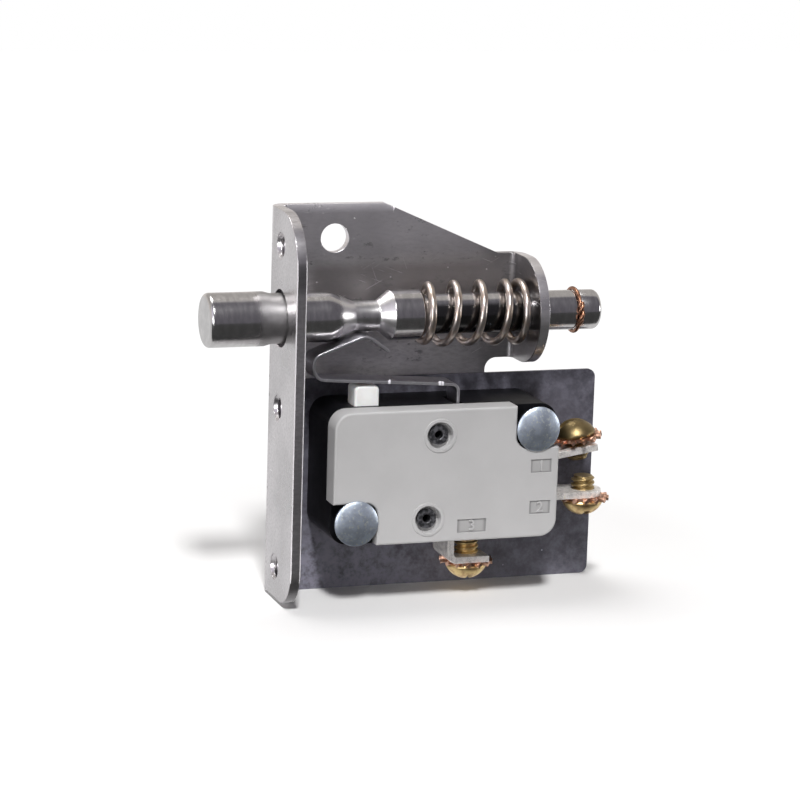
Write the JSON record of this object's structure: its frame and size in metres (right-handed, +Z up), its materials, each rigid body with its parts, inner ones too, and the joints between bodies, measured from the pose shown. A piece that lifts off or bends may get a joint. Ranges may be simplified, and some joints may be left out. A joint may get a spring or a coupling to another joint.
{
  "type": "plunger door interlock switch",
  "caption": "Door interlock: a spring loaded plunger in a bent sheet bracket works a snap action switch through a spring leaf in its waist.",
  "frame": {"origin": "centre of the flange's middle threaded hole, on the flange's outer face", "axes": "+X along the plunger from the flange to the rear lug, +Y towards the back plate, +Z up"},
  "size_m": [0.0503, 0.0136, 0.0463],
  "materials": {
    "nickel_steel": "dull nickel plated sheet steel, fine rolled grain",
    "turned_steel": "fine turned steel, polished",
    "spring_wire": "drawn spring wire, warm grey",
    "spring_steel": "bright spring steel strip",
    "zinc_steel": "blue white zinc plate",
    "dark_steel": "dark formed steel",
    "dark_insulator": "dark blue black hard sheet, mottled semi gloss",
    "black_plastic": "black thermoset moulding",
    "grey_plastic": "light grey moulding, fine matte",
    "white_plastic": "white nylon, slightly translucent",
    "tinned_brass": "tinned brass strip",
    "brass": "bright yellow brass",
    "copper": "bare copper",
    "copper_alloy": "beryllium copper strip",
    "silver": "silver contact"
  },
  "bodies": {
    "bracket_frame": {"bracket": "nickel_steel", "insulator_sheet": "dark_insulator", "mounting_rivets": "zinc_steel", "switch_base": "black_plastic", "switch_cover": "grey_plastic", "case_eyelets": "dark_steel", "com_terminal": "tinned_brass", "no_terminal": "tinned_brass", "nc_terminal": "tinned_brass", "no_contact": "silver", "nc_contact": "silver", "nc_lockwasher": "copper", "nc_screw": "brass", "no_lockwasher": "copper", "no_screw": "brass", "com_lockwasher": "copper", "com_screw": "brass"},
    "return_spring": {"plunger_spring": "spring_wire"},
    "plunger_rod": {"plunger": "turned_steel", "retaining_ring": "copper"},
    "leaf_lever": {"cam_leaf": "spring_steel"},
    "button": {"switch_button": "white_plastic"},
    "blade": {"moving_blade": "copper_alloy", "moving_contact": "silver", "snap_spring": "copper_alloy"}
  },
  "joints": [
    {"name": "service_pull", "type": "slide", "parent": "bracket_frame", "child": "return_spring", "axis": [1, 0, 0], "range_m": [-0.0044, 0], "deforming": ["cam_leaf"]},
    {"name": "door_push", "type": "slide", "parent": "return_spring", "child": "plunger_rod", "axis": [1, 0, 0], "range_m": [0, 0.004], "stiffness_N_per_m": 600, "deforming": ["plunger_spring", "snap_spring"]},
    {"name": "lever_tilt", "type": "hinge", "parent": "bracket_frame", "child": "leaf_lever", "pos_m": [0.0211, -0.00145, 0.0002], "axis": [0, -1, 0], "range_deg": [0, 8.01]},
    {"name": "button_travel", "type": "slide", "parent": "bracket_frame", "child": "button", "axis": [0, 0, -1], "range_m": [0, 0.00165], "deforming": ["snap_spring"]},
    {"name": "blade_swing", "type": "hinge", "parent": "bracket_frame", "child": "blade", "pos_m": [0.007, -0.00145, -0.00813], "axis": [0, 1, 0], "range_deg": [0, 2.51], "deforming": ["snap_spring"]}
  ],
  "couplings": [
    {"joint": "lever_tilt", "follows": "door_push", "rad_per_m": 34.907},
    {"joint": "button_travel", "follows": "door_push", "ratio": 0.4125},
    {"joint": "blade_swing", "follows": "door_push", "rad_per_m": 10.908}
  ]
}
